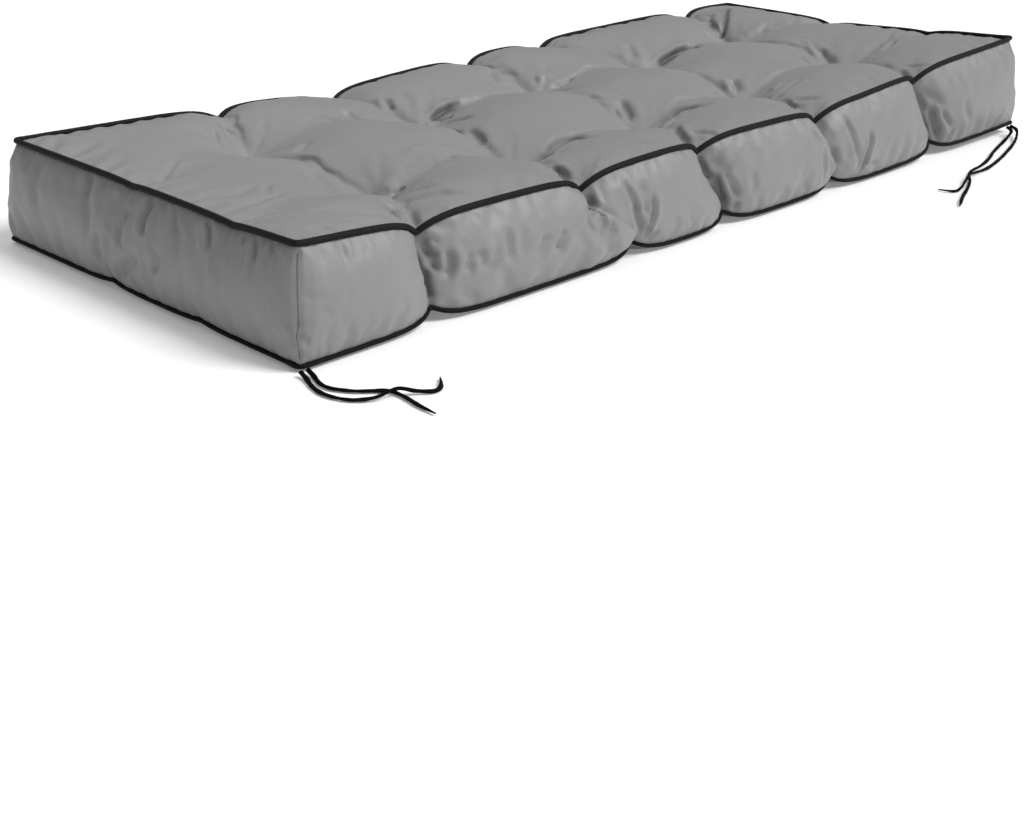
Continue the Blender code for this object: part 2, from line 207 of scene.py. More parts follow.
def tie_strand(name, route):
    route = [(x, y, TIE_LIE + lift) for x, y, lift in route]
    line, along = spread_out(smooth_line(route), TIE_STEP)
    line[:, 2] = np.maximum(line[:, 2], TIE_LIE)
    turning = TURN * np.sin(along / TURN_LENGTH + len(name))
    up = np.stack([np.zeros_like(along), np.sin(turning), np.cos(turning)], axis=1)
    length = along[-1]

    def section(angle, place):
        tip = min(1.0, TIP + (length - place) / TIP_LENGTH)
        wave = 1 + 0.07 * math.sin(place / 0.0061) + 0.05 * math.sin(place / 0.0023 + 2)
        return TIE_RADIUS * tip * wave, FLATNESS * TIE_RADIUS * tip * wave

    strand = wrapped_tube(name + "_cloth", line, along, up, section, 12)
    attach(strand, "root")
    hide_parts(name)
    return strand


ties = [tie_strand(name, route) for name, route in TIE_ROUTES.items()]

# %% [markdown]
# ## The net of seams and tufts
# A stuffed cushion gets its shape from where its cloth is held: at the corners, along the two
# seams, at the notches where the tufts pull the seams in, and at the tufts themselves. These places
# form a net of 7 by 4 knots on the top and another on the bottom. Everything between them follows
# from how full the stuffing is. The tables repeat the solid's own, so both shapes agree, but the
# boxing is fuller here at some notches, where a solid would run into its own piping.

# %% Sizes and tables
LENGTH, DEPTH, SEAM_HEIGHT = 1.194, 0.474, 0.110
FOOT_OUT, FOOT_HEIGHT = 0.012, 0.0060
CORNER_LIFT = {"top": 0.016, "foot": 0.008}
CORNER_REACH = 1.6
ROUNDNESS, BULGE_ROUNDNESS = 2.5, 3.0
RIM_VALLEY, RIM_SADDLE = 0.012, 0.55
FOOT_SADDLE, FOOT_CROWN, TUFT_FOOT = 0.016, 0.022, 0.036
SEAM_EASE = 1.5
BULGE, CORNER_SWELL = 0.013, 0.006
NOTCH_REACH, FOOT_NOTCH = 0.017, 0.6
FRONT_NOTCHES = (
    {"top_x": -0.455, "foot_x": -0.448, "beside": 0.102, "down": 0.018, "draw_in": 0.014},
    {"top_x": -0.238, "foot_x": -0.168, "beside": 0.100, "down": 0.020, "draw_in": 0.012},
    {"top_x": -0.050, "foot_x": -0.012, "beside": 0.104, "down": 0.019, "draw_in": 0.014},
    {"top_x": 0.165, "foot_x": 0.190, "beside": 0.101, "down": 0.021, "draw_in": 0.014},
    {"top_x": 0.378, "foot_x": 0.415, "beside": 0.109, "down": 0.019, "draw_in": 0.014},
)
BACK_NOTCHES = (
    {"top_x": -0.352, "foot_x": -0.385, "beside": 0.104, "down": 0.012, "draw_in": 0.012},
    {"top_x": -0.192, "foot_x": -0.200, "beside": 0.095, "down": 0.018, "draw_in": 0.013},
    {"top_x": 0.036, "foot_x": 0.020, "beside": 0.107, "down": 0.017, "draw_in": 0.013},
    {"top_x": 0.170, "foot_x": 0.190, "beside": 0.109, "down": 0.016, "draw_in": 0.012},
    {"top_x": 0.482, "foot_x": 0.440, "beside": 0.114, "down": 0.019, "draw_in": 0.013},
)
LEFT_DIPS = (
    {"top_y": -0.145, "foot_y": -0.100, "beside": 0.108, "down": 0.003, "draw_in": 0.002},
    {"top_y": 0.018, "foot_y": 0.050, "beside": 0.110, "down": 0.004, "draw_in": 0.003},
)
RIGHT_DIPS = (
    {"top_y": -0.115, "foot_y": -0.095, "beside": 0.112, "down": 0.004, "draw_in": 0.003},
    {"top_y": 0.045, "foot_y": 0.065, "beside": 0.110, "down": 0.007, "draw_in": 0.004},
)
FRONT_TUFTS = (
    {"x": -0.392, "y": -0.104, "top": 0.071},
    {"x": -0.206, "y": -0.100, "top": 0.069},
    {"x": 0.008, "y": -0.094, "top": 0.070},
    {"x": 0.204, "y": -0.090, "top": 0.072},
    {"x": 0.430, "y": -0.084, "top": 0.074},
)
REAR_TUFTS = (
    {"x": -0.388, "y": 0.122, "top": 0.076},
    {"x": -0.166, "y": 0.086, "top": 0.073},
    {"x": 0.040, "y": 0.102, "top": 0.075},
    {"x": 0.240, "y": 0.084, "top": 0.076},
    {"x": 0.455, "y": 0.116, "top": 0.078},
)
FULLNESS = (
    (0.60, 0.85, 0.90, 0.85, 0.90, 0.50),
    (0.50, 0.95, 1.05, 0.95, 1.00, 0.40),
    (0.80, 0.40, 0.40, 0.40, 0.40, 0.40),
)
OUT = {
    "front": Vector((0, -1, 0)),
    "back": Vector((0, 1, 0)),
    "left": Vector((-1, 0, 0)),
    "right": Vector((1, 0, 0)),
}
# How far the boxing stands out at the notches of each side, below 0 where it sinks in
AT_NOTCHES = {
    "front": (-0.004, 0.023, -0.001, 0.020, -0.001),
    "back": (-0.001, -0.001, 0.001, 0.001, -0.001),
    "left": (0.015, 0.016),
    "right": (0.015, 0.015),
}
VALLEYS_ALONG = ((0.028, 0.020, 0.020, 0.022), (0.020, 0.012, 0.018, 0.018))
VALLEYS_ACROSS = (0.010, 0.010, 0.018, 0.018, 0.018)
PILLOW_TOPS = (
    (0.114, 0.108, 0.099, 0.104, 0.114, 0.121),
    (0.106, 0.110, 0.108, 0.107, 0.109, 0.116),
    (0.111, 0.110, 0.113, 0.115, 0.119, 0.120),
)
COLUMNS, ROWS = len(FRONT_TUFTS) + 1, len(FULLNESS)
ALONG, ACROSS, UP = 38, 32, 20  # divisions of a pillow along X and Y, and of the boxing in height
CELLS_X, CELLS_Y = COLUMNS * ALONG, ROWS * ACROSS
print("pillows:", COLUMNS, "by", ROWS)

# %% [markdown]
# ## Points between the knots
# A seam runs straight from knot to knot, and dips sharply at each notch. A pillow's surface is
# blended from its four edges, as a sheet stretched in a frame of four wires would lie, and then
# the stuffing pushes it up by a crown. The boxing, the strip between the two seams, swells out in
# the middle of each pillow and sinks in at each notch.


# %% Seams
def mix(a, b, t):
    return a + (b - a) * t


def swell(t, power=ROUNDNESS):
    return 1 - abs(2 * t - 1) ** power


def spaced(step, count):
    """Share of a pillow's side at a division, somewhat closer together near its ends."""
    return mix((1 - math.cos(math.pi * step / count)) / 2, step / count, 0.6)


def pillow_at(index, cells, pillows):
    pillow = min(index // cells, pillows - 1)
    return pillow, spaced(index - pillow * cells, cells)


def sides_of(i, j):
    found = ["front"] if j == 0 else ["back"] if j == CELLS_Y else []
    return found + (["left"] if i == 0 else ["right"] if i == CELLS_X else [])


def knots(level):
    top = level == "top"
    side_x = LENGTH / 2 + (0 if top else FOOT_OUT)
    side_y = DEPTH / 2 + (0 if top else FOOT_OUT)
    height = SEAM_HEIGHT if top else FOOT_HEIGHT
    x_name, y_name = ("top_x", "top_y") if top else ("foot_x", "foot_y")
    rows = []
    for notches, y in ((FRONT_NOTCHES, -side_y), (BACK_NOTCHES, side_y)):
        middle = [Vector((notch[x_name], y, notch["beside"] if top else height)) for notch in notches]
        rows.append([Vector((-side_x, y, height)), *middle, Vector((side_x, y, height))])
    for number, tufts in enumerate((FRONT_TUFTS, REAR_TUFTS)):
        left, right = LEFT_DIPS[number], RIGHT_DIPS[number]
        middle = [Vector((tuft["x"], tuft["y"], tuft["top"] if top else TUFT_FOOT)) for tuft in tufts]
        left_end = Vector((-side_x, left[y_name], left["beside"] if top else height))
        right_end = Vector((side_x, right[y_name], right["beside"] if top else height))
        rows.insert(number + 1, [left_end, *middle, right_end])
    return rows


def notch_pull(side, level, point):
    table = {"front": FRONT_NOTCHES, "back": BACK_NOTCHES, "left": LEFT_DIPS, "right": RIGHT_DIPS}[side]
    axis = 0 if side in ("front", "back") else 1
    name = ("top_" if level == "top" else "foot_") + "xy"[axis]
    pull = Vector((0, 0, 0))
    for row in table:
        share = math.exp(-abs(point[axis] - row[name]) / NOTCH_REACH)
        rise = -row["down"] if level == "top" else FOOT_NOTCH * row["down"]
        pull += share * (Vector((0, 0, rise)) - row["draw_in"] * OUT[side])
    return pull


def rim_point(net, level, i, j):
    """A point of the top or bottom seam."""
    column, a = pillow_at(i, ALONG, COLUMNS)
    row, b = pillow_at(j, ACROSS, ROWS)
    sides = sides_of(i, j)
    if sides[0] in ("front", "back"):
        ends = net[0] if sides[0] == "front" else net[ROWS]
        point = mix(ends[column], ends[column + 1], a)
    else:
        ends = [line[0 if sides[0] == "left" else COLUMNS] for line in net]
        point = mix(ends[row], ends[row + 1], b)
    if len(sides) == 1:
        point = point + notch_pull(sides[0], level, point)
    along = max(0.0, 1 - (CELLS_X - i) / (CORNER_REACH * ALONG))
    across = max(0.0, 1 - j / (CORNER_REACH * ACROSS))
    return point + Vector((0, 0, CORNER_LIFT[level] * along * across))


# %% Panels and boxing
def knot(net, level, column, row):
    i, j = column * ALONG, row * ACROSS
    return rim_point(net, level, i, j) if sides_of(i, j) else net[row][column]


def valley(net, level, start, end, t):
    """A point of the valley between two knots of the net, each given by column and row."""
    ends = [knot(net, level, *place) for place in (start, end)]
    (column, row), same_row = start, start[1] == end[1]
    if any(sides_of(column * ALONG, row * ACROSS) for column, row in (start, end)):
        rise = RIM_VALLEY if level == "top" else -RIM_SADDLE * FOOT_SADDLE
    elif level == "foot":
        rise = -FOOT_SADDLE
    else:
        rise = VALLEYS_ALONG[row - 1][column - 1] if same_row else VALLEYS_ACROSS[column - 1]
    return mix(ends[0], ends[1], t) + Vector((0, 0, rise * swell(t)))


def eased(t, pillow, pillows):
    if pillow == 0:
        return t**SEAM_EASE
    if pillow == pillows - 1:
        return 1 - (1 - t) ** SEAM_EASE
    return t


def stretched(net, level, i, j):
    """A point of a panel as a sheet would lie in the frame of its four edges."""
    column, a = pillow_at(i, ALONG, COLUMNS)
    row, b = pillow_at(j, ACROSS, ROWS)

    def edge(start, end, t, seam):
        return rim_point(net, level, *seam) if seam else valley(net, level, start, end, t)

    low = edge((column, row), (column + 1, row), a, (i, 0) if row == 0 else None)
    high = edge((column, row + 1), (column + 1, row + 1), a, (i, CELLS_Y) if row == ROWS - 1 else None)
    left = edge((column, row), (column, row + 1), b, (0, j) if column == 0 else None)
    at_right = (CELLS_X, j) if column == COLUMNS - 1 else None
    right = edge((column + 1, row), (column + 1, row + 1), b, at_right)
    corners = [[knot(net, level, column + c, row + r) for c in (0, 1)] for r in (0, 1)]
    flat = mix(mix(corners[0][0], corners[0][1], a), mix(corners[1][0], corners[1][1], a), b)
    return mix(low, high, b) + mix(left, right, a) - flat


def panel_point(net, level, i, j):
    if sides_of(i, j):
        return rim_point(net, level, i, j)
    column, a = pillow_at(i, ALONG, COLUMNS)
    row, b = pillow_at(j, ACROSS, ROWS)
    point = stretched(net, level, i, j)
    if level == "top":
        if (row, column) not in lifts:
            centre = stretched(net, level, column * ALONG + ALONG // 2, row * ACROSS + ACROSS // 2)
            lifts[row, column] = PILLOW_TOPS[row][column] - centre.z
        point.z += lifts[row, column] * swell(eased(a, column, COLUMNS)) * swell(eased(b, row, ROWS))
    else:
        full = FULLNESS[row][column]
        point.z = max(0.0, point.z - FOOT_CROWN * full * swell(a) * swell(b))
    return point


lifts = {}


def boxing_point(top_net, foot_net, i, j, share):
    low = rim_point(foot_net, "foot", i, j)
    high = rim_point(top_net, "top", i, j)
    point = mix(low, high, share)
    sides = sides_of(i, j)
    bulge = CORNER_SWELL
    if len(sides) == 1:
        axis = 0 if sides[0] in ("front", "back") else 1
        point[axis] = mix(low[axis], high[axis], share * share * (3 - 2 * share))
        pillow, t = pillow_at(i, ALONG, COLUMNS) if axis == 0 else pillow_at(j, ACROSS, ROWS)
        last = COLUMNS - 1 if axis == 0 else ROWS - 1
        notch = pillow - 1 if t < 0.5 else pillow
        still = AT_NOTCHES[sides[0]][notch] if 0 <= notch < last else CORNER_SWELL
        bulge = mix(still, BULGE, swell(t, BULGE_ROUNDNESS))
    for side in sides:
        point = point + OUT[side] * swell(share, 3) * bulge
    return point


# %% [markdown]
# ## The cloth as a divided box
# The cover is a box of cloth: a cube is divided into as many cells as the cloth needs, and each of
# its points is moved from the cube to its place between the knots. Its cells get a UV map first,
# while they are still square, so that the threads of the weave later follow the cloth.

# %% Divide a cube
TINY = 1e-6


def divided_cube():
    mesh = bmesh.new()
    bmesh.ops.create_cube(mesh, size=1.0)
    bmesh.ops.translate(mesh, verts=mesh.verts, vec=(0.5, 0.5, 0.5))
    for axis, pillows, cells in ((0, COLUMNS, ALONG), (1, ROWS, ACROSS), (2, 1, UP)):
        others = [other for other in range(3) if other != axis]
        for cuts in (pillows - 1, cells - 1):
            run = []
            for edge in mesh.edges:
                start, end = edge.verts[0].co, edge.verts[1].co
                if all(abs(start[other] - end[other]) < TINY for other in others):
                    run.append(edge)
            if cuts:
                bmesh.ops.subdivide_edges(mesh, edges=run, cuts=cuts, use_grid_fill=True)
    return mesh


def lay_threads(mesh):
    """A UV map in metres of cloth: X and Y on the panels, way round and height on the boxing."""
    uv = mesh.loops.layers.uv.new("threads")
    mesh.normal_update()
    for face in mesh.faces:
        n = [abs(x) for x in face.normal]
        across, down = (0, 1) if n[2] > 0.5 else (0, 2) if n[1] > 0.5 else (1, 2)
        size = (LENGTH, DEPTH, SEAM_HEIGHT)
        for loop in face.loops:
            loop[uv].uv = (loop.vert.co[across] * size[across], loop.vert.co[down] * size[down])


cover = divided_cube()
lay_threads(cover)
print("cover:", len(cover.verts), "points")

# %% Move each point to its place
top_net, foot_net = knots("top"), knots("foot")
held, height_share, on_top, at_corner = [], [], [], []
for vert in cover.verts:
    i, j, share = round(vert.co.x * CELLS_X), round(vert.co.y * CELLS_Y), vert.co.z
    rim = bool(sides_of(i, j))
    tuft = i % ALONG == 0 and j % ACROSS == 0 and not rim
    height_share.append(share)
    at_corner.append(len(sides_of(i, j)) == 2)
    on_top.append(share > 1 - TINY)
    if share > 1 - TINY:
        vert.co = panel_point(top_net, "top", i, j)
        held.append(rim or tuft)
    elif share < TINY:
        vert.co = panel_point(foot_net, "foot", i, j)
        held.append(True)
    else:
        vert.co = boxing_point(top_net, foot_net, i, j, share)
        held.append(False)
bmesh.ops.recalc_face_normals(cover, faces=cover.faces)
cushion = made_piece("cushion_cover", cover)
cover_data = cushion.data
held, height_share, on_top, at_corner = (
    np.array(values) for values in (held, height_share, on_top, at_corner)
)
print("held points:", int(held.sum()))

# %% [markdown]
# ## Let the cloth settle
# Cloth that is sewn to a shorter seam, or gathered into a tuft, has more length than room, and
# buckles into small folds. Blender's cloth does the same once the cloth is told to be longer than
# it is drawn: a negative shrink. A vertex group gives the slack only to the cloth near the seams
# and the tufts. Pressure stands in for the stuffing, gravity is off, and the seams, the tufts and
# the underside are pinned.

# %% Slack near seams and tufts
TUFT_EASE = 0.040  # beyond this distance from a tuft the drawn valleys are rounded
TUFT_REACH, SEAM_REACH = 0.050, 0.022  # how far the slack goes from a tuft and from a seam
TOP_SLACK, BOXING_SLACK = 0.3, 0.45  # the slack right beside a seam
TUFT_PLACES = np.array([(tuft["x"], tuft["y"]) for tuft in FRONT_TUFTS + REAR_TUFTS])


def points_of(data):
    flat = np.empty(3 * len(data.vertices))
    data.vertices.foreach_get("co", flat)
    return flat.reshape(-1, 3)


def put_points(data, points):
    data.vertices.foreach_set("co", points.ravel())
    data.update()


def to_tuft(points):
    """Distance in plan from each point to the nearest tuft."""
    away = points[:, None, :2] - TUFT_PLACES[None]
    return np.sqrt((away**2).sum(2)).min(1)


def to_seam(points):
    """Distance along the cloth from each point to the nearest seam, roughly."""
    inside = np.minimum(LENGTH / 2 - abs(points[:, 0]), DEPTH / 2 - abs(points[:, 1]))
    up_boxing = SEAM_HEIGHT * np.minimum(height_share, 1 - height_share)
    return np.where(on_top, inside, up_boxing)


EDGES = np.array([edge.vertices[:] for edge in cover_data.edges])
NEIGHBOURS = np.bincount(EDGES.ravel(), minlength=len(held))[:, None]


def averaged(values, rounds, share=1.0):
    """Each round moves a point's value halfway to the mean of its neighbours' values."""
    for _ in range(rounds):
        total = np.zeros_like(values)
        for a, b in ((0, 1), (1, 0)):
            for axis in range(values.shape[1]):
                total[:, axis] += np.bincount(EDGES[:, a], values[EDGES[:, b], axis], len(values))
        values = values + share * (total / NEIGHBOURS - values) / 2
    return values


drawn = points_of(cover_data)
clear_of_tufts = 1 - np.exp(-((to_tuft(drawn) / TUFT_EASE) ** 2))
soft = (clear_of_tufts * on_top * ~held)[:, None]
drawn = averaged(drawn, 24, soft)
by_tuft = np.exp(-((to_tuft(drawn) / TUFT_REACH) ** 2)) * on_top
by_seam = np.where(on_top, TOP_SLACK, BOXING_SLACK) * np.exp(-((to_seam(drawn) / SEAM_REACH) ** 2))
slack = np.clip(np.maximum(by_tuft, by_seam), 0, 1)
print("mean slack:", round(float(slack.mean()), 2))

# %% Run the cloth
FRAMES = 14
UNEVENNESS = 0.0003  # a little disorder, without which a flat cloth can't start to buckle


def settle(piece, pinned, tightness):
    """Runs the cloth and gives back where each point went."""
    for name, weights in (("pinned", pinned), ("tightness", tightness)):
        group = piece.vertex_groups.new(name=name)
        for number, weight in enumerate(weights):
            if weight > 0:
                group.add([number], float(weight), "REPLACE")
    cloth = piece.modifiers.new("cloth", "CLOTH")
    settings = cloth.settings
    settings.quality = 6
    settings.mass = 0.01
    settings.tension_stiffness = settings.compression_stiffness = 15
    settings.shear_stiffness = 5
    settings.bending_stiffness = 0.02
    settings.tension_damping = settings.compression_damping = settings.shear_damping = 0.2
    settings.bending_damping = 0.05
    settings.use_pressure = True
    settings.uniform_pressure_force = 20
    settings.vertex_group_mass = "pinned"
    settings.vertex_group_shrink = "tightness"
    settings.shrink_min = -0.13  # cloth with no tightness is drawn 13% too short
    settings.shrink_max = -0.02
    settings.effector_weights.gravity = 0
    cloth.collision_settings.use_collision = False
    cloth.point_cache.frame_start, cloth.point_cache.frame_end = 1, FRAMES
    for number in range(1, FRAMES + 1):
        bpy.context.scene.frame_set(number)
    seen = piece.evaluated_get(bpy.context.evaluated_depsgraph_get())
    settled = points_of(seen.to_mesh())
    seen.to_mesh_clear()
    piece.modifiers.clear()
    piece.vertex_groups.clear()
    bpy.context.scene.frame_set(1)
    return settled


dice = np.random.default_rng(4)
start = drawn + dice.normal(0, UNEVENNESS, drawn.shape) * ~held[:, None]
put_points(cover_data, start)
settled = settle(cushion, held, 1 - slack)
print("furthest move in mm:", round(1000 * float(np.linalg.norm(settled - drawn, axis=1).max()), 1))

# %% [markdown]
# ## Keep the shape, take the folds
# The simulation does two things at once: it blows the pillows up, and it buckles the cloth. The
# first would carry the cushion away from its true size, so the two are told apart. A move that is
# averaged over many neighbours keeps only its broad part. Of that a small share is kept, and the
# rest of the move, which is the folds, is kept whole.

# %% Broad and fine moves
BROAD_SHARE, BROAD_ROUNDS = 0.08, 90
move = settled - drawn
broad = averaged(move, BROAD_ROUNDS, ~held[:, None])
shaped = drawn + BROAD_SHARE * broad + (move - broad)
shaped[held] = drawn[held]
put_points(cover_data, shaped)


def corner_line(x_sign, y_sign):
    """The settled cloth's points along one upright corner, from the floor up."""
    there = at_corner & (shaped[:, 0] * x_sign > 0) & (shaped[:, 1] * y_sign > 0)
    numbers = there.nonzero()[0]
    return shaped[numbers[height_share[numbers].argsort()]]


corner_seams = [corner_line(x, y) for x, y in ((-1, -1), (1, -1), (1, 1), (-1, 1))]
print("broad move in mm:", round(1000 * float(np.linalg.norm(broad, axis=1).max()), 1))

# %% Divide the cloth once more
SEWN = 0.008  # within this distance of a seam the cloth is less free to fold
free = cover_data.attributes.new("free", "FLOAT", "POINT")
free.data.foreach_set("value", np.clip(to_seam(drawn) / SEWN, 0, 1) * (height_share > 0))
smooth = cushion.modifiers.new("smooth", "SUBSURF")
smooth.levels = smooth.render_levels = 1
seen = cushion.evaluated_get(bpy.context.evaluated_depsgraph_get())
cover_data = bpy.data.meshes.new_from_object(seen)
cushion.modifiers.clear()
cushion.data = cover_data
cover_data.shade_smooth()
print("cloth:", len(cover_data.vertices), "points")
